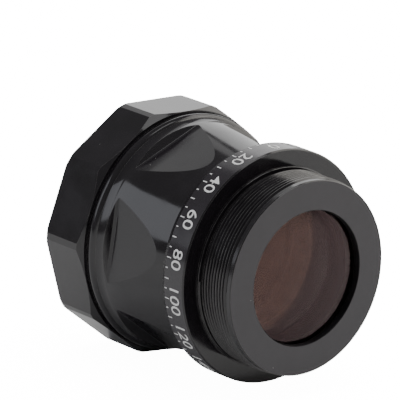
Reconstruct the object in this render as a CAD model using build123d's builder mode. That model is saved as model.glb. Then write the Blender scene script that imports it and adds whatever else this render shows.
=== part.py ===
"""Telescope focal reducer: a lens group in a ten-sided, waisted barrel with threads at both ends.

The optical axis is +Y, from the telescope side (y = 0) to the camera side. +Z is up, and the part
lies on one flat of its grip ring. Sizes are in millimetres, and "radius" is always the distance
from the optical axis.
"""

import os
from math import copysign, cos, pi, radians, sin, sqrt, tan

from build123d import *

# Threads: both ends carry the 2 inch, 24 per inch telescope accessory thread
THREAD_MAJOR_RADIUS = 25.4
THREAD_PITCH = 25.4 / 24
INNER_THREAD_DEPTH_RATIO = 0.5413  # share of the pitch, from an internal thread's root to its crest
OUTER_THREAD_DEPTH_RATIO = 0.6134  # share of the pitch, from an external thread's crest to its root
THREAD_LEAD_IN = 0.45
THREAD_ROOT_RELIEF = 0.1  # how far a run-out groove lies past the thread's root

# Grip ring at the telescope side
GRIP_SIDES = 10
GRIP_STEP = 1.9  # from the barrel's shoulder out to the flats
GRIP_CORNER_TURN_DOWN = 0.27  # turned off the ten sharp corners
GRIP_LENGTH = 12.3
GRIP_REAR_CHAMFER = 0.3
GRIP_CONE_SETBACK = 0.05  # the front cone ends this far inside the flats

# Groove and bead between the grip ring and the barrel
GROOVE_WIDTH = 0.55
GROOVE_DEPTH = 0.9
BEAD_WIDTH = 2.3
BEAD_HEIGHT = 0.5
BEAD_FOOT_DROP = 0.45

# Barrel
BARREL_LENGTH = 41.85
BARREL_SHOULDER_WALL = 6.6
BARREL_SHOULDER_LENGTH = 2.6  # concave run from the bead to the taper
BARREL_BREAK_WALL = 5.55
BARREL_BREAK_LENGTH = 6.0
BARREL_FRONT_WALL = 2.6
BARREL_EDGE = 0.3

# Finger scallops round the barrel
SCALLOP_COUNT = 6
SCALLOP_FLAT = 4  # one scallop is centred on this flat of the grip ring
SCALLOP_OFFSET = 3.25  # deepest line, in front of the bead's foot
SCALLOP_DEPTH = 2.2
SCALLOP_FLOOR_ANGLE = 2.4
SCALLOP_WALL_ANGLE = 21.0
SCALLOP_ROOT_FILLET = 0.7
SCALLOP_CUTTER_REACH = 4.5  # from the floor outwards, past the barrel's shoulder

# Telescope-side socket and the bore behind it
SOCKET_STEP = 2.4  # from the thread's major radius in to the bore
SOCKET_DEPTH = 9.0
SOCKET_RELIEF_LENGTH = 1.6
SOCKET_SHOULDER_THICKNESS = 2.0
SOCKET_SHOULDER_HEIGHT = 2.0

# Front adapter
FLANGE_WIDTH = 4.8  # over the thread's crest
FLANGE_LENGTH = 9.05
FLANGE_REAR_BEVEL_LENGTH = 1.95
FLANGE_REAR_BEVEL_HEIGHT = 1.1
FLANGE_FRONT_CHAMFER = 0.35
REGISTER_HEIGHT = 0.35  # above the thread's crest
REGISTER_LENGTH = 0.6
RUN_OUT_LENGTH = 0.7
CAMERA_THREAD_LENGTH = 8.9
LAND_GROOVE_LENGTH = 0.3
LAND_DROP = 0.3
LAND_LENGTH = 1.4
LAND_CHAMFER = 0.25
FRONT_LIP_HEIGHT = 2.3
FRONT_LIP_THICKNESS = 1.6
APERTURE_CHAMFER = 0.2
SPIGOT_WALL = 3.35
SPIGOT_LENGTH = 4.0  # how far the adapter screws into the barrel

# Fits between turned pieces
SCREWED_CLEARANCE = 0.05
LENS_CLEARANCE = 0.05
CEMENT_GAP = 0.02
GLASS_BEVEL = 0.25

# Front lens group, from the aperture towards the telescope. A curve is in glass radii.
FRONT_LENS_EDGE = 3.0
FRONT_LENS_FRONT_CURVE_RATIO = 5.88
CEMENTED_CURVE_RATIO = 3.84
CEMENTED_LENS_EDGE = 5.6
CEMENTED_LENS_REAR_CURVE_RATIO = 7.16
FRONT_SPACER_LENGTH = 3.0
FRONT_SPACER_WALL = 1.9
THIRD_LENS_EDGE = 4.0
THIRD_LENS_FRONT_CURVE_RATIO = 4.86
THIRD_LENS_REAR_CURVE_RATIO = 4.6

# Rear lens group, in its own cell
CELL_LIP_THICKNESS = 1.6
CELL_WALL = 2.35
REAR_LENS_SHARE = 0.26  # the rear lens's edge, of the length that the cell has for its glass
REAR_LENS_REAR_CURVE_RATIO = 4.48
REAR_LENS_FRONT_CURVE_RATIO = 5.84
REAR_SPACER_WALL = 1.7
FOURTH_LENS_SHARE = 0.34
FOURTH_LENS_REAR_CURVE_RATIO = 3.89
FOURTH_LENS_FRONT_CURVE_RATIO = 7.79
CELL_RECESS = 0.9

# Rings that hold the glass
SEAT_WIDTH = 1.7  # flat rim of a lens that a ring or lip bears on
PRELOAD_RING_THICKNESS = 1.4
RETAINING_RING_LENGTH = 3.0
RETAINING_RING_WALL = 1.9
LOCK_RING_LENGTH = 3.0
LOCK_RING_WALL = 2.3
SPANNER_SLOT_WIDTH = 1.6
SPANNER_SLOT_DEPTH = 1.2
BAFFLE_THICKNESS = 0.6
BAFFLE_HEIGHT = 5.35

# Radii, worked out from the thread inwards and outwards
socket_crest_radius = THREAD_MAJOR_RADIUS - INNER_THREAD_DEPTH_RATIO * THREAD_PITCH
relief_radius = THREAD_MAJOR_RADIUS + THREAD_ROOT_RELIEF
run_out_radius = THREAD_MAJOR_RADIUS - OUTER_THREAD_DEPTH_RATIO * THREAD_PITCH - THREAD_ROOT_RELIEF
land_radius = THREAD_MAJOR_RADIUS - LAND_DROP
register_radius = THREAD_MAJOR_RADIUS + REGISTER_HEIGHT
flange_radius = THREAD_MAJOR_RADIUS + FLANGE_WIDTH

bore_radius = THREAD_MAJOR_RADIUS - SOCKET_STEP
socket_shoulder_radius = bore_radius - SOCKET_SHOULDER_HEIGHT
barrel_front_radius = bore_radius + BARREL_FRONT_WALL
barrel_break_radius = bore_radius + BARREL_BREAK_WALL
barrel_shoulder_radius = bore_radius + BARREL_SHOULDER_WALL
grip_flat_radius = barrel_shoulder_radius + GRIP_STEP
grip_corner_radius = grip_flat_radius / cos(pi / GRIP_SIDES) - GRIP_CORNER_TURN_DOWN
grip_front_radius = grip_flat_radius - GRIP_CONE_SETBACK
groove_radius = grip_front_radius - GROOVE_DEPTH
bead_foot_radius = groove_radius - BEAD_FOOT_DROP

spigot_radius = bore_radius - SCREWED_CLEARANCE
adapter_bore_radius = spigot_radius - SPIGOT_WALL
aperture_radius = adapter_bore_radius - FRONT_LIP_HEIGHT
cell_bore_radius = spigot_radius - CELL_WALL
front_glass_radius = adapter_bore_radius - LENS_CLEARANCE
rear_glass_radius = cell_bore_radius - LENS_CLEARANCE
front_seat_radius = front_glass_radius - SEAT_WIDTH
rear_seat_radius = rear_glass_radius - SEAT_WIDTH
baffle_radius = spigot_radius - BAFFLE_HEIGHT

# Stations along the axis that several pieces share
groove_y = GRIP_LENGTH + grip_corner_radius - grip_front_radius
bead_y = groove_y + GROOVE_WIDTH
bead_end_y = bead_y + BEAD_WIDTH
taper_y = bead_end_y + BARREL_SHOULDER_LENGTH
break_y = taper_y + BARREL_BREAK_LENGTH
scallop_y = bead_end_y + SCALLOP_OFFSET

spigot_y = BARREL_LENGTH - SPIGOT_LENGTH
baffle_y = spigot_y - BAFFLE_THICKNESS
cell_front_y = baffle_y - LOCK_RING_LENGTH
cell_retainer_y = cell_front_y - CELL_RECESS - RETAINING_RING_LENGTH
cell_preload_y = cell_retainer_y - PRELOAD_RING_THICKNESS
shoulder_y = SOCKET_DEPTH + SOCKET_RELIEF_LENGTH
cell_y = shoulder_y + SOCKET_SHOULDER_THICKNESS
rear_lens_y = cell_y + CELL_LIP_THICKNESS
cell_glass_length = cell_preload_y - rear_lens_y
rear_spacer_y = rear_lens_y + REAR_LENS_SHARE * cell_glass_length
fourth_lens_y = cell_preload_y - FOURTH_LENS_SHARE * cell_glass_length

flange_front_y = BARREL_LENGTH + FLANGE_LENGTH
run_out_y = flange_front_y + REGISTER_LENGTH
camera_thread_y = run_out_y + RUN_OUT_LENGTH
camera_thread_end_y = camera_thread_y + CAMERA_THREAD_LENGTH
front_y = camera_thread_end_y + LAND_GROOVE_LENGTH + LAND_LENGTH
front_seat_y = front_y - FRONT_LIP_THICKNESS
cemented_edge_y = front_seat_y - FRONT_LENS_EDGE
front_spacer_y = front_seat_y - CEMENTED_LENS_EDGE - FRONT_LENS_EDGE
third_lens_front_y = front_spacer_y - FRONT_SPACER_LENGTH
third_lens_y = third_lens_front_y - THIRD_LENS_EDGE
front_preload_y = third_lens_y - PRELOAD_RING_THICKNESS
front_retainer_y = front_preload_y - RETAINING_RING_LENGTH


def barrel_radius_at(y):
    """Outside radius of the tapered barrel at station y, in front of its shoulder."""
    if y < break_y:
        share = (y - taper_y) / BARREL_BREAK_LENGTH
        return barrel_shoulder_radius + share * (barrel_break_radius - barrel_shoulder_radius)
    share = (y - break_y) / (BARREL_LENGTH - break_y)
    return barrel_break_radius + share * (barrel_front_radius - barrel_break_radius)


def sag(curve, radius):
    """Depth of a spherical surface at a radius from its vertex, below zero where it is hollow."""
    return copysign(abs(curve) - sqrt(curve**2 - radius**2), curve)


def axial_plane(angle):
    """Plane through the axis: x runs outwards, at this angle from +Z towards +X, and y forwards."""
    s, c = sin(radians(angle)), cos(radians(angle))
    return Plane(origin=(0, 0, 0), x_dir=(s, 0, c), z_dir=(-c, 0, s))


def ring_section(inner, outer, y, length):
    """Rectangular half section of a plain ring, in the open sketch."""
    with Locations(((inner + outer) / 2, y + length / 2)):
        Rectangle(outer - inner, length)


def glass_section(radius, rear_y, front_y, rear_curve, front_curve, rear_reach, front_reach):
    """Half section of a lens, in the open sketch.

    A curve is given in glass radii. One above zero bulges outwards, one below zero is hollow. Each
    reach is the radius at which the curve meets the flat rim, and a curve that reaches the edge has
    no rim and no bevel.
    """
    rear_curve *= radius
    front_curve *= radius
    rear_vertex = rear_y - sag(rear_curve, rear_reach)
    front_vertex = front_y + sag(front_curve, front_reach)
    rear_mid = rear_vertex + sag(rear_curve, rear_reach / 2)
    front_mid = front_vertex - sag(front_curve, front_reach / 2)
    rim = []
    if rear_reach < radius:
        rim += [(radius - GLASS_BEVEL, rear_y), (radius, rear_y + GLASS_BEVEL)]
    if front_reach < radius:
        rim += [(radius, front_y - GLASS_BEVEL), (radius - GLASS_BEVEL, front_y)]
    with BuildLine() as outline:
        ThreePointArc((0, rear_vertex), (rear_reach / 2, rear_mid), (rear_reach, rear_y))
        Polyline((rear_reach, rear_y), *rim, (front_reach, front_y))
        ThreePointArc((front_reach, front_y), (front_reach / 2, front_mid), (0, front_vertex))
        Line((0, front_vertex), (0, rear_vertex))
    make_face(outline.edges())


def spanner_slots(y):
    """Cuts two opposite spanner slots into the open part, in front of station y."""
    with Locations((0, y + SPANNER_SLOT_DEPTH / 2, 0)):
        Box(2 * flange_radius, SPANNER_SLOT_DEPTH, SPANNER_SLOT_WIDTH, mode=Mode.SUBTRACT)


os.makedirs("parts", exist_ok=True)

# Main barrel: grip ring, groove, bead and waist are one turned and milled piece
with BuildPart() as main_barrel:
    with BuildSketch(Plane.XY):
        with BuildLine():
            Polyline(
                (bore_radius, 0),
                (grip_corner_radius - GRIP_REAR_CHAMFER, 0),
                (grip_corner_radius, GRIP_REAR_CHAMFER),
                (grip_corner_radius, GRIP_LENGTH),
                (grip_front_radius, groove_y),
                (groove_radius, groove_y),
                (groove_radius, bead_y),
            )
            ThreePointArc(
                (groove_radius, bead_y),
                (groove_radius + BEAD_HEIGHT, bead_y + BEAD_WIDTH / 2),
                (bead_foot_radius, bead_end_y),
            )
            shoulder_slope = (barrel_shoulder_radius - barrel_break_radius) / BARREL_BREAK_LENGTH
            TangentArc(
                (barrel_shoulder_radius, taper_y),
                (bead_foot_radius, bead_end_y),
                tangent=(shoulder_slope, -1),
            )
            Polyline(
                (barrel_shoulder_radius, taper_y),
                (barrel_break_radius, break_y),
                (barrel_front_radius, BARREL_LENGTH - BARREL_EDGE),
                (barrel_front_radius - BARREL_EDGE, BARREL_LENGTH),
                (bore_radius, BARREL_LENGTH),
                (bore_radius, 0),
            )
        make_face()
    revolve(axis=Axis.Y)
    # The ten flats of the grip ring
    with BuildSketch(Plane(origin=(0, 0, 0), x_dir=(0, 0, 1), z_dir=(0, 1, 0))):
        half_side = 180 / GRIP_SIDES
        RegularPolygon(grip_flat_radius, GRIP_SIDES, major_radius=False, rotation=half_side)
    extrude(amount=BARREL_LENGTH, mode=Mode.INTERSECT)
    # Finger scallops: a flat floor that runs out forwards and a steep wall behind it
    scallop_floor = barrel_radius_at(scallop_y) - SCALLOP_DEPTH
    cutter_top = scallop_floor + SCALLOP_CUTTER_REACH
    wall_run = SCALLOP_CUTTER_REACH * tan(radians(SCALLOP_WALL_ANGLE))
    floor_drop = (BARREL_LENGTH - scallop_y) * tan(radians(SCALLOP_FLOOR_ANGLE))
    for scallop in range(SCALLOP_COUNT):
        turn = SCALLOP_FLAT * 360 / GRIP_SIDES + scallop * 360 / SCALLOP_COUNT
        with BuildSketch(axial_plane(turn)) as scallop_section:
            with BuildLine():
                Polyline(
                    (scallop_floor, scallop_y),
                    (cutter_top, scallop_y - wall_run),
                    (cutter_top, BARREL_LENGTH),
                    (scallop_floor - floor_drop, BARREL_LENGTH),
                    close=True,
                )
            make_face()
            root = scallop_section.vertices().sort_by_distance(
                axial_plane(turn).from_local_coords((scallop_floor, scallop_y, 0))
            )[0]
            fillet(root, SCALLOP_ROOT_FILLET)
        extrude(amount=barrel_shoulder_radius, both=True, mode=Mode.SUBTRACT)
    # Telescope-side socket and the lip that carries the lens cell
    with BuildSketch(Plane.XY):
        with BuildLine():
            Polyline(
                (bore_radius, 0),
                (relief_radius, 0),
                (socket_crest_radius, THREAD_LEAD_IN),
                (socket_crest_radius, SOCKET_DEPTH),
                (relief_radius, SOCKET_DEPTH),
                (relief_radius, shoulder_y),
                (bore_radius, shoulder_y),
                close=True,
            )
        make_face()
    revolve(axis=Axis.Y, mode=Mode.SUBTRACT)
    with BuildSketch(Plane.XY):
        ring_section(
            socket_shoulder_radius, bore_radius, shoulder_y, SOCKET_SHOULDER_THICKNESS
        )
    revolve(axis=Axis.Y)

# Front adapter: lettering band, camera-side thread and the lip round the front lens
with BuildPart() as front_adapter:
    with BuildSketch(Plane.XY):
        with BuildLine():
            Polyline(
                (adapter_bore_radius, spigot_y),
                (spigot_radius, spigot_y),
                (spigot_radius, BARREL_LENGTH),
                (flange_radius - FLANGE_REAR_BEVEL_HEIGHT, BARREL_LENGTH),
                (flange_radius, BARREL_LENGTH + FLANGE_REAR_BEVEL_LENGTH),
                (flange_radius, flange_front_y - FLANGE_FRONT_CHAMFER),
                (flange_radius - FLANGE_FRONT_CHAMFER, flange_front_y),
                (register_radius, flange_front_y),
                (register_radius, run_out_y),
                (run_out_radius, run_out_y),
                (run_out_radius, camera_thread_y),
                (THREAD_MAJOR_RADIUS, camera_thread_y),
                (THREAD_MAJOR_RADIUS, camera_thread_end_y),
                (run_out_radius, camera_thread_end_y),
                (run_out_radius, camera_thread_end_y + LAND_GROOVE_LENGTH),
                (land_radius, camera_thread_end_y + LAND_GROOVE_LENGTH),
                (land_radius, front_y - LAND_CHAMFER),
                (land_radius - LAND_CHAMFER, front_y),
                (aperture_radius + APERTURE_CHAMFER, front_y),
                (aperture_radius, front_y - APERTURE_CHAMFER),
                (aperture_radius, front_seat_y),
                (adapter_bore_radius, front_seat_y),
                close=True,
            )
        make_face()
    revolve(axis=Axis.Y)

# Front lens group
with BuildPart() as front_lens:
    with BuildSketch(Plane.XY):
        glass_section(
            front_glass_radius,
            cemented_edge_y,
            front_seat_y,
            CEMENTED_CURVE_RATIO,
            FRONT_LENS_FRONT_CURVE_RATIO,
            front_glass_radius,
            aperture_radius,
        )
    revolve(axis=Axis.Y)

with BuildPart() as cemented_lens:
    with BuildSketch(Plane.XY):
        glass_section(
            front_glass_radius,
            front_spacer_y,
            cemented_edge_y - CEMENT_GAP,
            -CEMENTED_LENS_REAR_CURVE_RATIO,
            -CEMENTED_CURVE_RATIO,
            front_seat_radius,
            front_glass_radius,
        )
    revolve(axis=Axis.Y)

with BuildPart() as front_spacer:
    with BuildSketch(Plane.XY):
        inside = front_glass_radius - FRONT_SPACER_WALL
        ring_section(inside, front_glass_radius, third_lens_front_y, FRONT_SPACER_LENGTH)
    revolve(axis=Axis.Y)

with BuildPart() as third_lens:
    with BuildSketch(Plane.XY):
        glass_section(
            front_glass_radius,
            third_lens_y,
            third_lens_front_y,
            THIRD_LENS_REAR_CURVE_RATIO,
            -THIRD_LENS_FRONT_CURVE_RATIO,
            front_seat_radius,
            front_seat_radius,
        )
    revolve(axis=Axis.Y)

with BuildPart() as front_preload_ring:
    with BuildSketch(Plane.XY):
        front_preload_centre = front_preload_y + PRELOAD_RING_THICKNESS / 2
        with Locations((front_glass_radius - SEAT_WIDTH / 2, front_preload_centre)):
            Circle(PRELOAD_RING_THICKNESS / 2)
    revolve(axis=Axis.Y)

with BuildPart() as front_retaining_ring:
    with BuildSketch(Plane.XY):
        inside = front_glass_radius - RETAINING_RING_WALL
        ring_section(inside, front_glass_radius, front_retainer_y, RETAINING_RING_LENGTH)
    revolve(axis=Axis.Y)
    spanner_slots(front_retainer_y)

# Rear lens group in its cell
with BuildPart() as lens_cell:
    with BuildSketch(Plane.XY):
        ring_section(cell_bore_radius, spigot_radius, cell_y, cell_front_y - cell_y)
        ring_section(rear_seat_radius, cell_bore_radius, cell_y, CELL_LIP_THICKNESS)
    revolve(axis=Axis.Y)

with BuildPart() as rear_lens:
    with BuildSketch(Plane.XY):
        glass_section(
            rear_glass_radius,
            rear_lens_y,
            rear_spacer_y,
            REAR_LENS_REAR_CURVE_RATIO,
            REAR_LENS_FRONT_CURVE_RATIO,
            rear_seat_radius,
            rear_seat_radius,
        )
    revolve(axis=Axis.Y)

with BuildPart() as rear_spacer:
    with BuildSketch(Plane.XY):
        inside = rear_glass_radius - REAR_SPACER_WALL
        ring_section(inside, rear_glass_radius, rear_spacer_y, fourth_lens_y - rear_spacer_y)
    revolve(axis=Axis.Y)

with BuildPart() as fourth_lens:
    with BuildSketch(Plane.XY):
        glass_section(
            rear_glass_radius,
            fourth_lens_y,
            cell_preload_y,
            -FOURTH_LENS_REAR_CURVE_RATIO,
            FOURTH_LENS_FRONT_CURVE_RATIO,
            rear_seat_radius,
            rear_seat_radius,
        )
    revolve(axis=Axis.Y)

with BuildPart() as cell_preload_ring:
    with BuildSketch(Plane.XY):
        cell_preload_centre = cell_preload_y + PRELOAD_RING_THICKNESS / 2
        with Locations((rear_glass_radius - SEAT_WIDTH / 2, cell_preload_centre)):
            Circle(PRELOAD_RING_THICKNESS / 2)
    revolve(axis=Axis.Y)

with BuildPart() as cell_retaining_ring:
    with BuildSketch(Plane.XY):
        inside = rear_glass_radius - RETAINING_RING_WALL
        ring_section(inside, rear_glass_radius, cell_retainer_y, RETAINING_RING_LENGTH)
    revolve(axis=Axis.Y)
    spanner_slots(cell_retainer_y + RETAINING_RING_LENGTH - SPANNER_SLOT_DEPTH)

with BuildPart() as cell_lock_ring:
    with BuildSketch(Plane.XY):
        ring_section(spigot_radius - LOCK_RING_WALL, spigot_radius, cell_front_y, LOCK_RING_LENGTH)
    revolve(axis=Axis.Y)
    spanner_slots(cell_front_y + LOCK_RING_LENGTH - SPANNER_SLOT_DEPTH)

with BuildPart() as light_baffle:
    with BuildSketch(Plane.XY):
        ring_section(baffle_radius, spigot_radius, baffle_y, BAFFLE_THICKNESS)
    revolve(axis=Axis.Y)

export_step(main_barrel.part, "parts/main_barrel.step")
export_step(front_adapter.part, "parts/front_adapter.step")
export_step(front_lens.part, "parts/front_lens.step")
export_step(cemented_lens.part, "parts/cemented_lens.step")
export_step(front_spacer.part, "parts/front_spacer.step")
export_step(third_lens.part, "parts/third_lens.step")
export_step(front_preload_ring.part, "parts/front_preload_ring.step")
export_step(front_retaining_ring.part, "parts/front_retaining_ring.step")
export_step(lens_cell.part, "parts/lens_cell.step")
export_step(rear_lens.part, "parts/rear_lens.step")
export_step(rear_spacer.part, "parts/rear_spacer.step")
export_step(fourth_lens.part, "parts/fourth_lens.step")
export_step(cell_preload_ring.part, "parts/cell_preload_ring.step")
export_step(cell_retaining_ring.part, "parts/cell_retaining_ring.step")
export_step(cell_lock_ring.part, "parts/cell_lock_ring.step")
export_step(light_baffle.part, "parts/light_baffle.step")
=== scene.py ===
"""Looks of the telescope focal reducer: the cut threads, the numbered band, the glass, the finishes,
the light and the camera.

The optical axis is +Y, from the telescope side to the camera side, and +Z is up. Until they reach
Blender, the part's sizes are in millimetres and all angles in degrees. A radius is a distance from
the optical axis, and a Y is a station along it. The lights and the camera are placed in metres.
"""

from math import copysign, cos, pi, radians, sin, sqrt, tan

import bpy
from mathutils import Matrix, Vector


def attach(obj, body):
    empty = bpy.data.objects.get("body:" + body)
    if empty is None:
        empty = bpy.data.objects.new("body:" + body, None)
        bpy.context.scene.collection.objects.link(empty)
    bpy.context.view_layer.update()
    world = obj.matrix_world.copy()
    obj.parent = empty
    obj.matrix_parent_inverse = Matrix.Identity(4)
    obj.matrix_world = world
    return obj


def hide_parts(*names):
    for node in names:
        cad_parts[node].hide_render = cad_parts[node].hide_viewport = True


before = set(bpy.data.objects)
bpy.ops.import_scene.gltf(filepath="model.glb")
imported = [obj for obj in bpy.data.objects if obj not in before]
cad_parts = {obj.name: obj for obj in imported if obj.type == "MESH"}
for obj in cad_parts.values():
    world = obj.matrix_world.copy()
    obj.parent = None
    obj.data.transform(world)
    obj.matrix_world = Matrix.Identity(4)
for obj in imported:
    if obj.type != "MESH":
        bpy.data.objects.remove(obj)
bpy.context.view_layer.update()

MM = 0.001
FULL_TURN = 2 * pi
AXIS = (0, 1, 0)
ORIGIN = (0, 0, 0)
WELD = 0.000002  # metres: points nearer than this are merged
TOUCHING = 0.000001  # metres: points nearer than this are in the same place
NEAR_FACE = 0.05  # how near its face a point has to be to belong to it

# Fineness of the meshes
AROUND = 360
GLASS_AROUND = 180
THREAD_STEPS = 120
BEAD_STEPS = 12
FILLET_STEPS = 10
GLASS_STEPS = 20
SCALLOP_ROOT_STEPS = 6
DIGIT_STEPS = 4
METAL_SMOOTH = 25
GLASS_SMOOTH = 20

# Threads, 24 to the inch, with flanks 60 degrees apart
THREAD_PITCH = 25.4 / 24
FLANK_SLOPE = tan(radians(30))
ROOT_FLAT = 0.13
OVERCUT = 0.1
OUTER_CREST = 25.4
OUTER_ROOT = 24.75
SOCKET_CREST = 24.827
SOCKET_ROOT = 25.4

# Main barrel, as the solid has it
GRIP_SIDES = 10
GRIP_FLAT_RADIUS = 31.5
GRIP_CORNER_RADIUS = 32.85
GRIP_LENGTH = 12.3
GRIP_SLOPE_RADIUS = GRIP_FLAT_RADIUS - 0.05
GROOVE_Y = 13.7
BEAD_Y = 14.25
BEAD_END_Y = 16.55
TAPER_Y = 19.15
BREAK_Y = 25.15
BARREL_END_Y = 41.85
GROOVE_RADIUS = 30.55
BEAD_RADIUS = 31.05
BARREL_FOOT_RADIUS = 30.1
FILLET_MIDDLE = (29.735, 17.8)
BARREL_SHOULDER_RADIUS = 29.6
BARREL_BREAK_RADIUS = 28.55
BARREL_FRONT_RADIUS = 25.6
BARREL_CHAMFER = 0.3
BORE_RADIUS = 23.0
CELL_SEAT_RADIUS = BORE_RADIUS - 2
CELL_Y = 12.6
SHOULDER_Y = 10.6
SOCKET_RELIEF_RADIUS = SOCKET_ROOT + 0.1
SOCKET_DEPTH = 9.0
SOCKET_ENTRY = 0.45
SOCKET_CUT = (-0.6, 9.9)
FLATS_LENGTH = 100
FLATS_MIDDLE_Y = 20

# Finger scallops
SCALLOPS = 6
SCALLOP_CENTRE = 144.0
SCALLOP_Y = 19.8
SCALLOP_END_Y = BARREL_END_Y + 2
SCALLOP_FLOOR = 27.286
SCALLOP_FLOOR_ANGLE = 2.4
SCALLOP_WALL_ANGLE = 21.0
SCALLOP_ROOT = 0.7
SCALLOP_ROOT_HALF_TURN = 35
SCALLOP_HALF_WIDTH = 13.0
SCALLOP_REACH = 4.5

# Front adapter
SPIGOT_Y = 37.85
SPIGOT_RADIUS = 22.95
ADAPTER_BORE = 19.6
FLANGE_RADIUS = 30.2
FLANGE_BACK_RADIUS = FLANGE_RADIUS - 1.1
FLANGE_BAND_Y = BARREL_END_Y + 1.95
FLANGE_FRONT_Y = 50.9
FLANGE_CHAMFER = 0.35
REGISTER_RADIUS = 25.75
REGISTER_END_Y = FLANGE_FRONT_Y + 0.6
REGISTER_CHAMFER = 0.1
RELIEF_RADIUS = 24.652
THREAD_Y = 52.2
THREAD_END_Y = 61.1
THREAD_FOOT_RADIUS = 24.85
THREAD_CHAMFER = 0.4
ADAPTER_CUT = (THREAD_Y - 0.45, 61.7)
LAND_RADIUS = 25.1
LAND_Y = THREAD_END_Y + 0.3
LAND_CHAMFER = 0.25
FRONT_Y = 62.8
FRONT_SEAT_Y = 61.2
APERTURE_RADIUS = 17.3
APERTURE_CHAMFER = 0.2

# Numbered scale round the flange, in degrees, filled white
SCALE_HEIGHT = 0.03
NUMBER_STEP = 20
DIGIT_SIZE = 4.9
DIGIT_WIDTH = 1.12
DIGIT_WEIGHT = 0.01
DIGIT_Y = 45.95
TICK_STEP = 5
TICK_Y = 44.0
TICK_WIDTH = 0.28
SHORT_TICK = 0.75
LONG_TICK = 1.45

# Glass
FRONT_GLASS_RADIUS = 19.55
REAR_GLASS_RADIUS = 20.55
SEAT_WIDTH = 1.7
GLASS_BEVEL = 0.25
PAINT_START = 0.02


# Hand tools
def deselect():
    bpy.ops.object.select_all(action="DESELECT")


def pick(piece):
    deselect()
    piece.select_set(True)
    bpy.context.view_layer.objects.active = piece


def bow(start, through, end, steps):
    """Points of the circular arc from start through a middle point to end, without the start."""
    (ax, ay), (bx, by), (cx, cy) = start, through, end
    d = 2 * (ax * (by - cy) + bx * (cy - ay) + cx * (ay - by))
    a2, b2, c2 = ax * ax + ay * ay, bx * bx + by * by, cx * cx + cy * cy
    ux = (a2 * (by - cy) + b2 * (cy - ay) + c2 * (ay - by)) / d
    uy = (a2 * (cx - bx) + b2 * (ax - cx) + c2 * (bx - ax)) / d
    centre = Vector((ux, uy))
    first, last = Vector(start) - centre, Vector(end) - centre
    turn = first.angle_signed(last)
    middle = first.angle_signed(Vector(through) - centre)
    if turn * middle < 0:
        turn -= FULL_TURN if turn > 0 else -FULL_TURN
    points = []
    for step in range(1, steps + 1):
        angle = -turn * step / steps
        x = first.x * cos(angle) - first.y * sin(angle)
        y = first.x * sin(angle) + first.y * cos(angle)
        points.append((ux + x, uy + y))
    return points


def draw_profile(name, points, closed):
    """Draws a chain of (radius, y) points in the XY plane by extruding one corner after another."""
    deselect()
    start = Vector((points[0][0], points[0][1], 0)) * MM
    bpy.ops.mesh.primitive_plane_add(size=MM, location=ORIGIN)
    piece = bpy.context.active_object
    piece.name = name
    bpy.ops.object.mode_set(mode="EDIT")
    bpy.ops.mesh.select_all(action="SELECT")
    bpy.ops.mesh.merge(type="CENTER")
    bpy.ops.transform.translate(value=start)
    for (r0, y0), (r1, y1) in zip(points, points[1:]):
        step = (Vector((r1, y1, 0)) - Vector((r0, y0, 0))) * MM
        bpy.ops.mesh.extrude_region_move(TRANSFORM_OT_translate={"value": step})
    if closed:
        bpy.ops.mesh.select_all(action="DESELECT")
        bpy.ops.object.mode_set(mode="OBJECT")
        for end in (points[0], points[-1]):
            place = Vector((end[0], end[1], 0)) * MM
            nearest = min(piece.data.vertices, key=lambda corner: (corner.co - place).length)
            nearest.select = True
        bpy.ops.object.mode_set(mode="EDIT")
        bpy.ops.mesh.edge_face_add()
    bpy.ops.object.mode_set(mode="OBJECT")
    return piece


def turned(name, points, closed=True, around=AROUND):
    """A lathe piece: the profile spun once round the optical axis."""
    piece = draw_profile(name, points, closed)
    bpy.ops.object.mode_set(mode="EDIT")
    bpy.ops.mesh.select_all(action="SELECT")
    bpy.ops.mesh.spin(steps=around, angle=FULL_TURN, center=ORIGIN, axis=AXIS)
    bpy.ops.mesh.select_all(action="SELECT")
    bpy.ops.mesh.remove_doubles(threshold=WELD)
    bpy.ops.mesh.normals_make_consistent(inside=False)
    bpy.ops.object.mode_set(mode="OBJECT")
    return piece


def turn_round(piece, degrees):
    """Turns a piece about the optical axis, from the top towards +X."""
    pick(piece)
    bpy.ops.object.mode_set(mode="EDIT")
    bpy.ops.mesh.select_all(action="SELECT")
    bpy.ops.transform.rotate(value=-radians(degrees), orient_axis="Y", center_override=ORIGIN)
    bpy.ops.object.mode_set(mode="OBJECT")


def joined(pieces):
    """Makes one piece of several."""
    deselect()
    for piece in pieces:
        piece.select_set(True)
    bpy.context.view_layer.objects.active = pieces[0]
    bpy.ops.object.join()
    return bpy.context.active_object


def cut(piece, cutter, way="DIFFERENCE"):
    """Cuts a piece with a cutter, which is then thrown away. Cut faces keep the cutter's material."""
    pick(piece)
    step = piece.modifiers.new("cut", "BOOLEAN")
    step.object = cutter
    step.operation = way
    step.solver = "EXACT"
    step.material_mode = "TRANSFER"
    bpy.ops.object.modifier_apply(modifier=step.name)
    bpy.data.objects.remove(cutter)


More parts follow.
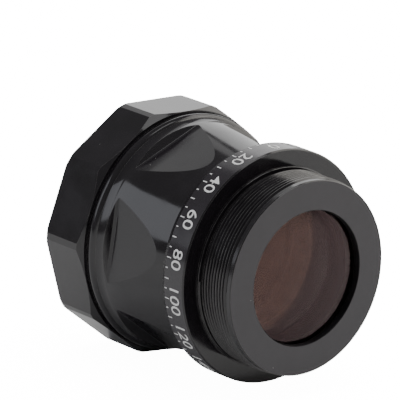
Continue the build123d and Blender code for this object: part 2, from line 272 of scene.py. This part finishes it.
def thread_cutter(name, crest, root, start_y, end_y):
    """A long V, wound round the axis, that cuts a thread from its crest towards its root."""
    over = OVERCUT if root < crest else -OVERCUT
    crest_half = ROOT_FLAT / 2 + abs(crest + over - root) * FLANK_SLOPE
    points = [
        (root, start_y - ROOT_FLAT / 2),
        (crest + over, start_y - crest_half),
        (crest + over, start_y + crest_half),
        (root, start_y + ROOT_FLAT / 2),
    ]
    cutter = draw_profile(name, points, closed=True)
    wind = cutter.modifiers.new("wind", "SCREW")
    wind.axis = "Y"
    wind.angle = FULL_TURN
    wind.screw_offset = THREAD_PITCH * MM
    wind.iterations = round((end_y - start_y) / THREAD_PITCH)
    wind.steps = THREAD_STEPS
    wind.render_steps = THREAD_STEPS
    wind.use_merge_vertices = True
    wind.merge_threshold = WELD
    pick(cutter)
    bpy.ops.object.modifier_apply(modifier=wind.name)
    bpy.ops.object.mode_set(mode="EDIT")
    bpy.ops.mesh.select_all(action="SELECT")
    bpy.ops.mesh.remove_doubles(threshold=WELD)
    bpy.ops.mesh.select_all(action="DESELECT")
    bpy.ops.mesh.select_non_manifold()
    bpy.ops.mesh.fill_holes(sides=8)
    bpy.ops.mesh.select_all(action="SELECT")
    bpy.ops.mesh.normals_make_consistent(inside=False)
    bpy.ops.object.mode_set(mode="OBJECT")
    return cutter


def smooth(piece, degrees):
    """Shades a piece smooth but for the edges that turn by more than this."""
    pick(piece)
    bpy.ops.object.shade_smooth_by_angle(angle=radians(degrees), keep_sharp_edges=True)


def mark_cut_edges(piece, place):
    """Marks sharp the border of the faces that hold the material in this place."""
    pick(piece)
    bpy.ops.object.mode_set(mode="EDIT")
    bpy.ops.mesh.select_mode(type="FACE")
    bpy.ops.mesh.select_all(action="DESELECT")
    piece.active_material_index = place
    bpy.ops.object.material_slot_select()
    bpy.ops.mesh.region_to_loop()
    bpy.ops.mesh.mark_sharp()
    bpy.ops.mesh.select_mode(type="VERT")
    bpy.ops.object.mode_set(mode="OBJECT")


def one_material(piece, material):
    """Leaves a piece with this material alone."""
    pick(piece)
    for face in piece.data.polygons:
        face.material_index = 0
    piece.data.materials.clear()
    piece.data.materials.append(material)


def place_of(face):
    """A face's radius and station, in millimetres."""
    radius = Vector((face.center.x, face.center.z)).length
    return radius / MM, face.center.y / MM


# Finishes: wiring
def add_node(tree, kind, **settings):
    node = tree.nodes.new("ShaderNode" + kind)
    for key, value in settings.items():
        setattr(node, key, value)
    return node


def feed(tree, socket, value):
    """Gives a socket a plain value, or links another node's output to it."""
    if isinstance(value, bpy.types.NodeSocket):
        tree.links.new(value, socket)
    else:
        socket.default_value = value


def reckon(tree, operation, *values):
    node = add_node(tree, "Math", operation=operation)
    for socket, value in zip(node.inputs, values):
        feed(tree, socket, value)
    return node.outputs["Value"]


def ease(tree, value, low, high, to_low=0.0, to_high=1.0):
    """Carries a value softly from one range into another."""
    node = add_node(tree, "MapRange", interpolation_type="SMOOTHSTEP")
    steps = {"Value": value, "From Min": low, "From Max": high, "To Min": to_low, "To Max": to_high}
    for label, step in steps.items():
        feed(tree, node.inputs[label], step)
    return node.outputs["Result"]


def blend(tree, share, first, second):
    """Mixes two colours."""
    node = add_node(tree, "Mix", data_type="RGBA")
    feed(tree, node.inputs[0], share)
    feed(tree, node.inputs[6], first)
    feed(tree, node.inputs[7], second)
    return node.outputs[2]


def on_piece(tree):
    """The place on the piece, the same for every piece because each sits at the origin."""
    return add_node(tree, "TexCoord").outputs["Object"]


def apart(tree, vector):
    """The three parts of a place or a direction."""
    node = add_node(tree, "SeparateXYZ")
    feed(tree, node.inputs[0], vector)
    return node.outputs


def cell_scale(tree, size_mm):
    """Scale of a texture on Object coordinates whose pattern is this many millimetres wide."""
    return reckon(tree, "DIVIDE", 1 / MM, size_mm)


def cloudy(tree, size_mm, **settings):
    """Soft noise over the piece, whose clouds are this many millimetres wide."""
    node = add_node(tree, "TexNoise")
    feed(tree, node.inputs["Vector"], on_piece(tree))
    feed(tree, node.inputs["Scale"], cell_scale(tree, size_mm))
    for label, value in settings.items():
        feed(tree, node.inputs[label], value)
    return node.outputs[0]


def emboss(tree, shader, height, depth_mm):
    """Raises a pattern from the surface by up to this many millimetres."""
    bump = add_node(tree, "Bump")
    bump.inputs["Strength"].default_value = 1.0
    bump.inputs["Distance"].default_value = depth_mm * MM
    feed(tree, bump.inputs["Height"], height)
    feed(tree, shader.inputs["Normal"], bump.outputs["Normal"])


def new_group(name, inputs, outputs):
    """An effect that several finishes share."""
    group = bpy.data.node_groups.new(name, "ShaderNodeTree")
    for label, value in inputs.items():
        socket = group.interface.new_socket(label, in_out="INPUT", socket_type="NodeSocketFloat")
        socket.default_value = value
    for label in outputs:
        group.interface.new_socket(label, in_out="OUTPUT", socket_type="NodeSocketFloat")
    given = group.nodes.new("NodeGroupInput").outputs
    gives = group.nodes.new("NodeGroupOutput").inputs
    return group, given, gives


def put(tree, group, **values):
    """Places a shared effect in a finish, with this finish's own values."""
    node = add_node(tree, "Group", node_tree=group)
    for label, value in values.items():
        node.inputs[label.replace("_", " ")].default_value = value
    return node.outputs


# Finishes: effects that they share
def make_turning_marks():
    """Rings left by the lathe tool, on faces and on barrels, deeper in some patches."""
    face_share = 0.62
    tree, given, gives = new_group(
        "turning_marks", {"Ring width mm": 0.3, "Patch size mm": 8.0}, ["Height", "Patches"]
    )
    x, y, z = apart(tree, on_piece(tree))
    square = reckon(tree, "ADD", reckon(tree, "POWER", x, 2.0), reckon(tree, "POWER", z, 2.0))
    out_and_along = reckon(tree, "MULTIPLY_ADD", reckon(tree, "SQRT", square), face_share, y)
    rings = add_node(tree, "TexNoise", noise_dimensions="1D")
    feed(tree, rings.inputs["W"], out_and_along)
    feed(tree, rings.inputs["Scale"], cell_scale(tree, given["Ring width mm"]))
    feed(tree, rings.inputs["Detail"], 2.0)
    patches = cloudy(tree, given["Patch size mm"])
    strength = ease(tree, patches, 0.35, 0.65, to_low=0.35)
    feed(tree, gives["Height"], reckon(tree, "MULTIPLY", rings.outputs[0], strength))
    feed(tree, gives["Patches"], ease(tree, patches, 0.3, 0.7))
    return tree


def make_fine_grain():
    """Fine grain of an etched, moulded or painted face."""
    tree, given, gives = new_group("fine_grain", {"Grain size mm": 0.2}, ["Height"])
    feed(tree, gives["Height"], cloudy(tree, given["Grain size mm"], Detail=3.0))
    return tree


def make_edge_wear():
    """Edges turned a little lighter, partly rubbed wear and partly a painted highlight along them,
    more in some places than in others.
    """
    flat, sharp = 0.995, 0.9
    tree, given, gives = new_group(
        "edge_wear_and_highlight", {"Width mm": 0.15, "Patch size mm": 2.5}, ["Wear"]
    )
    rounded = add_node(tree, "Bevel", samples=4)
    feed(tree, rounded.inputs["Radius"], reckon(tree, "MULTIPLY", given["Width mm"], MM))
    likeness = add_node(tree, "VectorMath", operation="DOT_PRODUCT")
    feed(tree, likeness.inputs[0], rounded.outputs[0])
    feed(tree, likeness.inputs[1], add_node(tree, "NewGeometry").outputs["Normal"])
    at_edge = ease(tree, likeness.outputs["Value"], flat, sharp)
    rubbed_and_highlit = ease(tree, cloudy(tree, given["Patch size mm"]), 0.3, 0.75, to_low=0.25)
    feed(tree, gives["Wear"], reckon(tree, "MULTIPLY", at_edge, rubbed_and_highlit))
    return tree


def make_dust():
    """A few specks of dust, most of them on faces that look up."""
    bare_cells = 0.55
    tree, given, gives = new_group("dust", {"Spacing mm": 2.0, "Speck mm": 0.12}, ["Specks"])
    cells = add_node(tree, "TexVoronoi")
    feed(tree, cells.inputs["Vector"], on_piece(tree))
    feed(tree, cells.inputs["Scale"], cell_scale(tree, given["Spacing mm"]))
    lot = add_node(tree, "SeparateColor")
    feed(tree, lot.inputs[0], cells.outputs["Color"])
    chosen = reckon(tree, "GREATER_THAN", lot.outputs[0], bare_cells)
    away = reckon(tree, "MULTIPLY", cells.outputs["Distance"], given["Spacing mm"])
    near = reckon(tree, "LESS_THAN", away, reckon(tree, "MULTIPLY", given["Speck mm"], 0.5))
    facing_up = apart(tree, add_node(tree, "NewGeometry").outputs["Normal"])[2]
    settled = ease(tree, facing_up, -0.6, 0.6, to_low=0.3)
    speck = reckon(tree, "MULTIPLY", reckon(tree, "MULTIPLY", near, chosen), settled)
    feed(tree, gives["Specks"], speck)
    return tree


turning_marks = make_turning_marks()
fine_grain = make_fine_grain()
edge_wear_and_highlight = make_edge_wear()
dust = make_dust()


# Finishes
def new_material(name):
    material = bpy.data.materials.new(name)
    material.use_nodes = True
    return material, material.node_tree, material.node_tree.nodes["Principled BSDF"]


def grey(level, warmth=0.0):
    """A near-neutral grey, warmer above zero and cooler below."""
    return (level * (1 + warmth), level, level * (1 - warmth), 1)


def black(level):
    """The black of dyed anodising, which leans a little to purple."""
    return (level * 1.10, level * 0.94, level * 1.16, 1)


# Tone of the lighter edges: partly wear, partly a painted highlight along sharp edges.
EDGE_WEAR_AND_HIGHLIGHT_TONE = grey(0.12, 0.03)
RUBBED_ROUGHER = 0.12
DUST_TONE = grey(0.45, 0.04)
DUST_ROUGHER = 0.5
GLASS_DARK = (0.62, 0.50, 0.47, 1)
GLASS_LIGHT = (0.70, 0.58, 0.54, 1)
GLASS_DUST = (0.3, 0.3, 0.3, 1)


def anodised(name, dark, light, roughness, spread, marks):
    """Black anodised aluminium, turned on a lathe. Marks is the depth of the rings in millimetres."""
    material, tree, shader = new_material(name)
    rings = put(tree, turning_marks, Ring_width_mm=0.32, Patch_size_mm=9.0)
    # Painted highlight with some wear: the sharp edges below are turned a lighter grey.
    rubbed_and_highlit = put(tree, edge_wear_and_highlight, Width_mm=0.14, Patch_size_mm=2.5)["Wear"]
    specks = put(tree, dust, Spacing_mm=3.2, Speck_mm=0.16)["Specks"]
    tone = blend(tree, rings["Patches"], black(dark), black(light))
    tone = blend(tree, rubbed_and_highlit, tone, EDGE_WEAR_AND_HIGHLIGHT_TONE)
    tone = blend(tree, specks, tone, DUST_TONE)
    feed(tree, shader.inputs["Base Color"], tone)
    gloss = ease(tree, rings["Patches"], 0.0, 1.0, roughness, roughness + spread)
    gloss = reckon(tree, "MULTIPLY_ADD", rubbed_and_highlit, RUBBED_ROUGHER, gloss)
    gloss = reckon(tree, "MULTIPLY_ADD", specks, DUST_ROUGHER, gloss)
    feed(tree, shader.inputs["Roughness"], gloss)
    shader.inputs["IOR"].default_value = 1.6
    emboss(tree, shader, rings["Height"], marks)
    return material


def coated(name, tint, ior):
    """Glass with an anti-reflection coating, whose leftover reflection has this tint."""
    material, tree, shader = new_material(name)
    specks = put(tree, dust, Spacing_mm=2.6, Speck_mm=0.13)["Specks"]
    cloud = put(tree, fine_grain, Grain_size_mm=3.0)["Height"]
    body = blend(tree, cloud, GLASS_DARK, GLASS_LIGHT)
    feed(tree, shader.inputs["Base Color"], blend(tree, specks, body, GLASS_DUST))
    shader.inputs["Roughness"].default_value = 0.0
    shader.inputs["Transmission Weight"].default_value = 1.0
    shader.inputs["IOR"].default_value = ior
    shader.inputs["Specular Tint"].default_value = (*tint, 1)
    return material


gloss_black = anodised(
    "gloss_black_anodised", dark=0.0085, light=0.013, roughness=0.09, spread=0.07, marks=0.0015
)
satin_black = anodised(
    "satin_black_anodised", dark=0.022, light=0.025, roughness=0.15, spread=0.04, marks=0.0
)
mauve_coating = coated("mauve_coated_glass", tint=(0.62, 0.36, 0.38), ior=1.62)
straw_coating = coated("straw_coated_glass", tint=(1.0, 0.78, 0.56), ior=1.70)
rose_coating = coated("rose_coated_glass", tint=(0.10, 0.04, 0.06), ior=1.62)
clear_coating = coated("clear_coated_glass", tint=(0.02, 0.02, 0.03), ior=1.62)

inner_black, tree, shader = new_material("inner_matt_black")
skin = put(tree, fine_grain, Grain_size_mm=0.15)["Height"]
ribs = put(tree, turning_marks, Ring_width_mm=0.6, Patch_size_mm=5.0)
feed(tree, shader.inputs["Base Color"], blend(tree, ribs["Patches"], black(0.004), black(0.008)))
feed(tree, shader.inputs["Roughness"], ease(tree, skin, 0.3, 0.7, 0.65, 0.85))
shader.inputs["IOR"].default_value = 1.28
emboss(tree, shader, reckon(tree, "ADD", ribs["Height"], skin), 0.03)

rubber, tree, shader = new_material("black_rubber")
skin = put(tree, fine_grain, Grain_size_mm=0.12)["Height"]
bloom = put(tree, turning_marks, Ring_width_mm=0.5, Patch_size_mm=3.0)["Patches"]
feed(tree, shader.inputs["Base Color"], blend(tree, bloom, grey(0.014), grey(0.026)))
feed(tree, shader.inputs["Roughness"], ease(tree, bloom, 0.0, 1.0, 0.6, 0.78))
emboss(tree, shader, skin, 0.01)

white_fill, tree, shader = new_material("white_fill")
skin = put(tree, fine_grain, Grain_size_mm=0.15)["Height"]
grime = put(tree, turning_marks, Ring_width_mm=0.4, Patch_size_mm=1.5)["Patches"]
feed(tree, shader.inputs["Base Color"], blend(tree, grime, grey(0.82, 0.01), grey(0.92)))
feed(tree, shader.inputs["Roughness"], ease(tree, skin, 0.3, 0.7, 0.4, 0.6))
emboss(tree, shader, skin, 0.01)

edge_paint, tree, shader = new_material("lens_edge_paint")
skin = put(tree, fine_grain, Grain_size_mm=0.1)["Height"]
feed(tree, shader.inputs["Base Color"], blend(tree, skin, grey(0.008), grey(0.02)))
feed(tree, shader.inputs["Roughness"], ease(tree, skin, 0.3, 0.7, 0.6, 0.8))

# Main barrel
foot = (BARREL_FOOT_RADIUS, BEAD_END_Y)
shoulder = (BARREL_SHOULDER_RADIUS, TAPER_Y)
bead_start = (GROOVE_RADIUS, BEAD_Y)
bead_top = (BEAD_RADIUS, (BEAD_Y + BEAD_END_Y) / 2)
barrel_profile = [
    (SOCKET_RELIEF_RADIUS, 0),
    (GRIP_CORNER_RADIUS - BARREL_CHAMFER, 0),
    (GRIP_CORNER_RADIUS, BARREL_CHAMFER),
    (GRIP_CORNER_RADIUS, GRIP_LENGTH),
    (GRIP_SLOPE_RADIUS, GROOVE_Y),
    (GROOVE_RADIUS, GROOVE_Y),
    bead_start,
]
barrel_profile += bow(bead_start, bead_top, foot, BEAD_STEPS)
barrel_profile += bow(barrel_profile[-1], FILLET_MIDDLE, shoulder, FILLET_STEPS)
barrel_profile += [
    (BARREL_BREAK_RADIUS, BREAK_Y),
    (BARREL_FRONT_RADIUS, BARREL_END_Y - BARREL_CHAMFER),
    (BARREL_FRONT_RADIUS - BARREL_CHAMFER, BARREL_END_Y),
    (BORE_RADIUS, BARREL_END_Y),
    (BORE_RADIUS, CELL_Y),
    (CELL_SEAT_RADIUS, CELL_Y),
    (CELL_SEAT_RADIUS, SHOULDER_Y),
    (SOCKET_RELIEF_RADIUS, SHOULDER_Y),
    (SOCKET_RELIEF_RADIUS, SOCKET_DEPTH),
    (SOCKET_CREST, SOCKET_DEPTH),
    (SOCKET_CREST, SOCKET_ENTRY),
]
barrel = turned("barrel", barrel_profile)
barrel.data.materials.append(gloss_black)

# The grip ring's ten flats, of a ten-sided bar that the barrel is cut to
deselect()
bpy.ops.mesh.primitive_cylinder_add(
    vertices=GRIP_SIDES,
    radius=GRIP_FLAT_RADIUS / cos(pi / GRIP_SIDES) * MM,
    depth=FLATS_LENGTH * MM,
    location=(0, FLATS_MIDDLE_Y * MM, 0),
    rotation=(pi / 2, 0, 0),
)
flats = bpy.context.active_object
bpy.ops.object.transform_apply(location=True, rotation=True, scale=True)
turn_round(flats, -180 / GRIP_SIDES)
flats_mark = bpy.data.materials.new("flats_mark")
flats.data.materials.append(flats_mark)
cut(barrel, flats, "INTERSECT")

# Finger scallops: one cutter with its root rounded, copied round the axis
scallop_run = SCALLOP_END_Y - SCALLOP_Y
scallop_section = [
    (SCALLOP_FLOOR, SCALLOP_Y),
    (SCALLOP_FLOOR + SCALLOP_REACH, SCALLOP_Y - SCALLOP_REACH * tan(radians(SCALLOP_WALL_ANGLE))),
    (SCALLOP_FLOOR + SCALLOP_REACH, SCALLOP_END_Y),
    (SCALLOP_FLOOR - scallop_run * tan(radians(SCALLOP_FLOOR_ANGLE)), SCALLOP_END_Y),
]
scallop = draw_profile("scallop", scallop_section, closed=True)
bpy.ops.object.mode_set(mode="EDIT")
bpy.ops.mesh.select_all(action="SELECT")
bpy.ops.mesh.edge_face_add()
bpy.ops.transform.translate(value=(0, 0, -SCALLOP_HALF_WIDTH * MM))
bpy.ops.mesh.extrude_region_move(
    TRANSFORM_OT_translate={"value": (0, 0, 2 * SCALLOP_HALF_WIDTH * MM)}
)
bpy.ops.mesh.select_all(action="SELECT")
bpy.ops.mesh.normals_make_consistent(inside=False)
bpy.ops.mesh.select_all(action="DESELECT")
bpy.ops.object.mode_set(mode="OBJECT")
for edge in scallop.data.edges:
    ends = [scallop.data.vertices[i].co for i in edge.vertices]
    at_root = all(abs(end.x - SCALLOP_FLOOR * MM) < TOUCHING for end in ends)
    edge.select = at_root and abs(ends[0].z - ends[1].z) > TOUCHING
bpy.ops.object.mode_set(mode="EDIT")
bpy.ops.mesh.select_mode(type="EDGE")
bpy.ops.mesh.bevel(
    offset=SCALLOP_ROOT * tan(radians(SCALLOP_ROOT_HALF_TURN)) * MM, segments=SCALLOP_ROOT_STEPS
)
bpy.ops.mesh.select_mode(type="VERT")
bpy.ops.object.mode_set(mode="OBJECT")
scallop_mark = bpy.data.materials.new("scallop_mark")
scallop.data.materials.append(scallop_mark)
cutters = []
for count in range(SCALLOPS):
    copy = scallop.copy()
    copy.data = scallop.data.copy()
    bpy.context.scene.collection.objects.link(copy)
    turn_round(copy, SCALLOP_CENTRE - 90 + count * 360 / SCALLOPS)
    cutters.append(copy)
bpy.data.objects.remove(scallop)
cut(barrel, joined(cutters))

# The socket's inner thread
cut(barrel, thread_cutter("socket_cutter", SOCKET_CREST, SOCKET_ROOT, *SOCKET_CUT))
for place, material in enumerate(barrel.data.materials):
    if material in (flats_mark, scallop_mark):
        mark_cut_edges(barrel, place)
one_material(barrel, gloss_black)
smooth(barrel, METAL_SMOOTH)
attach(barrel, "root")
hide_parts("main_barrel")

# Front adapter with its outer thread
adapter_profile = [
    (ADAPTER_BORE, SPIGOT_Y),
    (SPIGOT_RADIUS, SPIGOT_Y),
    (SPIGOT_RADIUS, BARREL_END_Y),
    (FLANGE_BACK_RADIUS, BARREL_END_Y),
    (FLANGE_RADIUS, FLANGE_BAND_Y),
    (FLANGE_RADIUS, FLANGE_FRONT_Y - FLANGE_CHAMFER),
    (FLANGE_RADIUS - FLANGE_CHAMFER, FLANGE_FRONT_Y),
    (REGISTER_RADIUS, FLANGE_FRONT_Y),
    (REGISTER_RADIUS, REGISTER_END_Y - REGISTER_CHAMFER),
    (REGISTER_RADIUS - REGISTER_CHAMFER, REGISTER_END_Y),
    (RELIEF_RADIUS, REGISTER_END_Y),
    (RELIEF_RADIUS, THREAD_Y),
    (THREAD_FOOT_RADIUS, THREAD_Y),
    (OUTER_CREST, THREAD_Y + THREAD_CHAMFER),
    (OUTER_CREST, THREAD_END_Y - THREAD_CHAMFER),
    (THREAD_FOOT_RADIUS, THREAD_END_Y),
    (RELIEF_RADIUS, THREAD_END_Y),
    (RELIEF_RADIUS, LAND_Y),
    (LAND_RADIUS, LAND_Y),
    (LAND_RADIUS, FRONT_Y - LAND_CHAMFER),
    (LAND_RADIUS - LAND_CHAMFER, FRONT_Y),
    (APERTURE_RADIUS + APERTURE_CHAMFER, FRONT_Y),
    (APERTURE_RADIUS, FRONT_Y - APERTURE_CHAMFER),
    (APERTURE_RADIUS, FRONT_SEAT_Y),
    (ADAPTER_BORE, FRONT_SEAT_Y),
]
adapter = turned("threaded_adapter", adapter_profile)
adapter.data.materials.append(gloss_black)
cut(adapter, thread_cutter("adapter_cutter", OUTER_CREST, OUTER_ROOT, *ADAPTER_CUT))
one_material(adapter, gloss_black)
adapter.data.materials.append(satin_black)
adapter.data.materials.append(inner_black)
for face in adapter.data.polygons:
    out, along = place_of(face)
    on_band = out > FLANGE_RADIUS - NEAR_FACE and along > FLANGE_BAND_Y
    on_front = along > FRONT_Y - NEAR_FACE
    if on_band or on_front:
        face.material_index = 1
    elif out < ADAPTER_BORE + NEAR_FACE:
        face.material_index = 2
smooth(adapter, METAL_SMOOTH)
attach(adapter, "root")
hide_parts("front_adapter")


# Numbered scale
def bend_round(piece):
    """Bends a flat piece, drawn in the XY plane over the axis, to the flange's radius."""
    pick(piece)
    bpy.ops.object.mode_set(mode="EDIT")
    bpy.ops.mesh.select_all(action="SELECT")
    bpy.ops.transform.rotate(value=-pi / 2, orient_axis="X", center_override=ORIGIN)
    bpy.ops.object.mode_set(mode="OBJECT")
    across = [corner.co.x for corner in piece.data.vertices]
    bend = piece.modifiers.new("bend", "SIMPLE_DEFORM")
    bend.deform_method = "BEND"
    bend.deform_axis = "Z"
    bend.angle = (max(across) - min(across)) / (FLANGE_RADIUS * MM)
    bpy.ops.object.modifier_apply(modifier=bend.name)
    bpy.ops.object.mode_set(mode="EDIT")
    bpy.ops.mesh.select_all(action="SELECT")
    bpy.ops.transform.rotate(value=pi / 2, orient_axis="X", center_override=ORIGIN)
    bpy.ops.transform.translate(value=(0, 0, FLANGE_RADIUS * MM))
    bpy.ops.object.mode_set(mode="OBJECT")


marks = []
for degrees in range(0, 360, NUMBER_STEP):
    deselect()
    bpy.ops.object.text_add(location=ORIGIN)
    number = bpy.context.active_object
    number.name = "number_%d" % degrees
    number.data.body = str(degrees)
    number.data.size = DIGIT_SIZE * MM
    number.data.offset = DIGIT_WEIGHT * MM
    number.data.extrude = SCALE_HEIGHT * MM
    number.data.align_x = "CENTER"
    number.data.resolution_u = DIGIT_STEPS
    bpy.ops.object.convert(target="MESH")
    bpy.ops.object.mode_set(mode="EDIT")
    bpy.ops.mesh.select_all(action="SELECT")
    bpy.ops.mesh.remove_doubles(threshold=WELD)
    bpy.ops.transform.resize(value=(DIGIT_WIDTH, 1, 1), center_override=ORIGIN)
    bpy.ops.transform.translate(value=(0, DIGIT_Y * MM, 0))
    bpy.ops.object.mode_set(mode="OBJECT")
    bend_round(number)
    turn_round(number, degrees)
    marks.append(number)
for degrees in range(0, 360, TICK_STEP):
    length = SHORT_TICK if degrees % (2 * TICK_STEP) else LONG_TICK
    deselect()
    bpy.ops.mesh.primitive_cube_add(size=MM, location=ORIGIN)
    tick = bpy.context.active_object
    tick.name = "tick_%d" % degrees
    bpy.ops.object.mode_set(mode="EDIT")
    bpy.ops.mesh.select_all(action="SELECT")
    bpy.ops.transform.resize(value=(TICK_WIDTH, length, 2 * SCALE_HEIGHT), center_override=ORIGIN)
    bpy.ops.transform.translate(value=(0, (TICK_Y + length / 2) * MM, 0))
    bpy.ops.object.mode_set(mode="OBJECT")
    bend_round(tick)
    turn_round(tick, degrees)
    marks.append(tick)
scale = joined(marks)
scale.name = "flange_scale"
one_material(scale, white_fill)
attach(scale, "root")


# Glass
def sag(curve, radius):
    """Depth of a spherical face at a radius from its vertex, below zero where it is hollow."""
    return copysign(abs(curve) - sqrt(curve * curve - radius * radius), curve)


def lens(name, radius, rear_y, front_y, rear_curve, front_curve, front_reach, coatings):
    """A lens with its ground and blackened rim. A curve is in glass radii, hollow below zero.

    The coatings are the front face's and the rear face's.
    """
    rear_reach = radius - SEAT_WIDTH
    rear_vertex = rear_y - sag(rear_curve * radius, rear_reach)
    front_vertex = front_y + sag(front_curve * radius, front_reach)
    rear_mid = rear_vertex + sag(rear_curve * radius, rear_reach / 2)
    front_mid = front_vertex - sag(front_curve * radius, front_reach / 2)
    rear_middle, rear_edge = (rear_reach / 2, rear_mid), (rear_reach, rear_y)
    front_middle, front_edge = (front_reach / 2, front_mid), (front_reach, front_y)
    points = [(0, rear_vertex)]
    points += bow(points[0], rear_middle, rear_edge, GLASS_STEPS)
    points += [
        (radius - GLASS_BEVEL, rear_y),
        (radius, rear_y + GLASS_BEVEL),
        (radius, front_y - GLASS_BEVEL),
        (radius - GLASS_BEVEL, front_y),
        front_edge,
    ]
    points += bow(front_edge, front_middle, (0, front_vertex), GLASS_STEPS)
    glass = turned(name, points, closed=False, around=GLASS_AROUND)
    for finish in (*coatings, edge_paint):
        glass.data.materials.append(finish)
    for face in glass.data.polygons:
        out, along = place_of(face)
        face.material_index = 0 if along > (rear_y + front_y) / 2 else 1
        if out > min(rear_reach, front_reach) + PAINT_START:
            face.material_index = 2
    smooth(glass, GLASS_SMOOTH)
    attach(glass, "root")
    return glass


doublet = lens(
    "cemented_doublet", radius=FRONT_GLASS_RADIUS, rear_y=52.6, front_y=FRONT_SEAT_Y,
    rear_curve=-7.16, front_curve=5.88, front_reach=APERTURE_RADIUS,
    coatings=(mauve_coating, clear_coating),
)
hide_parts("front_lens", "cemented_lens")
inner_lenses = {
    "third_lens": dict(
        radius=FRONT_GLASS_RADIUS, rear_y=45.6, front_y=49.6, rear_curve=4.6, front_curve=-4.86,
        coatings=(straw_coating, clear_coating),
    ),
    "fourth_lens": dict(
        radius=REAR_GLASS_RADIUS, rear_y=23.93, front_y=28.95, rear_curve=-3.89, front_curve=7.79,
        coatings=(rose_coating, clear_coating),
    ),
    "rear_lens": dict(
        radius=REAR_GLASS_RADIUS, rear_y=14.2, front_y=18.04, rear_curve=4.48, front_curve=5.84,
        coatings=(clear_coating, mauve_coating),
    ),
}
for node_name, shape in inner_lenses.items():
    fine = lens("fine_" + node_name, front_reach=shape["radius"] - SEAT_WIDTH, **shape)
    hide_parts(node_name)

# The solids that stay
for name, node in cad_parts.items():
    material = rubber if "preload" in name else inner_black
    for place in range(len(node.material_slots)):
        node.material_slots[place].material = material

# Floor, light and camera
FLOOR_RADIUS = 3.0
FLOOR_SIDES = 96
FLOOR_SEEN = 2.5
FLOOR_FELT = 0.88
BACKDROP_WHITE = 14.0
ROOM_GREY = 0.2
NEUTRAL = (1.0, 1.0, 1.0)
COOL = (0.95, 0.98, 1.05)
WARM = (1.03, 1.0, 0.94)
CAMERA_PLACE = (0.718762, 0.848940, 0.314068)
CAMERA_TURN = (74.4707, -3.0332, 139.8867)
CAMERA_LENS = 403.804
SENSOR_WIDTH = 36
NEAREST_SEEN = 0.05
FARTHEST_SEEN = 20


def show(tree, surface, seen, felt):
    """Shows the camera one shader, and lights the part with the other."""
    ray = add_node(tree, "LightPath")
    either = add_node(tree, "MixShader")
    feed(tree, either.inputs["Fac"], ray.outputs["Is Camera Ray"])
    feed(tree, either.inputs[1], felt)
    feed(tree, either.inputs[2], seen)
    feed(tree, surface, either.outputs["Shader"])


def softbox(name, azimuth, elevation, distance, width, height, brightness, colour, reflects=True):
    """A soft light that looks at the part. Azimuth runs from +Y towards +X."""
    across, up = radians(azimuth), radians(elevation)
    way = Vector((sin(across) * cos(up), cos(across) * cos(up), sin(up)))
    lamp = bpy.data.lights.new(name, "AREA")
    lamp.shape = "RECTANGLE"
    lamp.size, lamp.size_y = width, height
    lamp.energy = brightness * pi * width * height
    lamp.color = colour
    light = bpy.data.objects.new(name, lamp)
    light.location = way * distance
    light.rotation_euler = way.to_track_quat("Z", "Y").to_euler()
    light.visible_camera = False
    light.visible_glossy = reflects
    bpy.context.scene.collection.objects.link(light)


deselect()
bpy.ops.mesh.primitive_circle_add(
    vertices=FLOOR_SIDES, radius=FLOOR_RADIUS, fill_type="NGON",
    location=(0, 0, -GRIP_FLAT_RADIUS * MM),
)
floor = bpy.context.active_object
floor.name = "floor"
floor_white = bpy.data.materials.new("floor_white")
floor_white.use_nodes = True
tree = floor_white.node_tree
tree.nodes.clear()
white = add_node(tree, "BsdfDiffuse")
white.inputs["Color"].default_value = grey(FLOOR_SEEN)
glow = add_node(tree, "Emission")
glow.inputs["Strength"].default_value = BACKDROP_WHITE
bright = add_node(tree, "AddShader")
feed(tree, bright.inputs[0], white.outputs["BSDF"])
feed(tree, bright.inputs[1], glow.outputs["Emission"])
plain = add_node(tree, "BsdfDiffuse")
plain.inputs["Color"].default_value = grey(FLOOR_FELT)
surface = add_node(tree, "OutputMaterial").inputs["Surface"]
show(tree, surface, seen=bright.outputs["Shader"], felt=plain.outputs["BSDF"])
floor.data.materials.append(floor_white)

world = bpy.data.worlds.new("studio")
bpy.context.scene.world = world
world.use_nodes = True
tree = world.node_tree
room = tree.nodes["Background"]
room.inputs["Color"].default_value = grey(1)
room.inputs["Strength"].default_value = ROOM_GREY
backdrop = add_node(tree, "Background")
backdrop.inputs["Color"].default_value = grey(1)
backdrop.inputs["Strength"].default_value = BACKDROP_WHITE
surface = tree.nodes["World Output"].inputs["Surface"]
show(tree, surface, seen=backdrop.outputs["Background"], felt=room.outputs["Background"])

# Azimuth, elevation, distance, width, height, brightness and colour of each light
softbox("softbox_left", 115, 24, 0.6, 0.36, 0.34, 1.45, COOL)
softbox("softbox_right", -78, 30, 0.6, 0.50, 0.56, 2.2, WARM)
softbox("softbox_back", -137, 20, 0.6, 0.27, 0.36, 1.55, NEUTRAL)
softbox("softbox_back_top", -152, 42, 0.62, 0.30, 0.17, 0.62, NEUTRAL)
softbox("softbox_front", -46, 30, 0.7, 0.24, 0.20, 2.8, WARM)
softbox("softbox_top", -28, 59, 0.9, 0.34, 0.26, 1.7, NEUTRAL)
softbox("overhead", 0, 89, 1.2, 1.2, 1.2, 2.2, NEUTRAL, reflects=False)

camera_data = bpy.data.cameras.new("camera")
camera_data.lens = CAMERA_LENS
camera_data.sensor_width = SENSOR_WIDTH
camera_data.clip_start = NEAREST_SEEN
camera_data.clip_end = FARTHEST_SEEN
camera = bpy.data.objects.new("camera", camera_data)
bpy.context.scene.collection.objects.link(camera)
camera.location = CAMERA_PLACE
camera.rotation_euler = [radians(angle) for angle in CAMERA_TURN]
bpy.context.scene.camera = camera
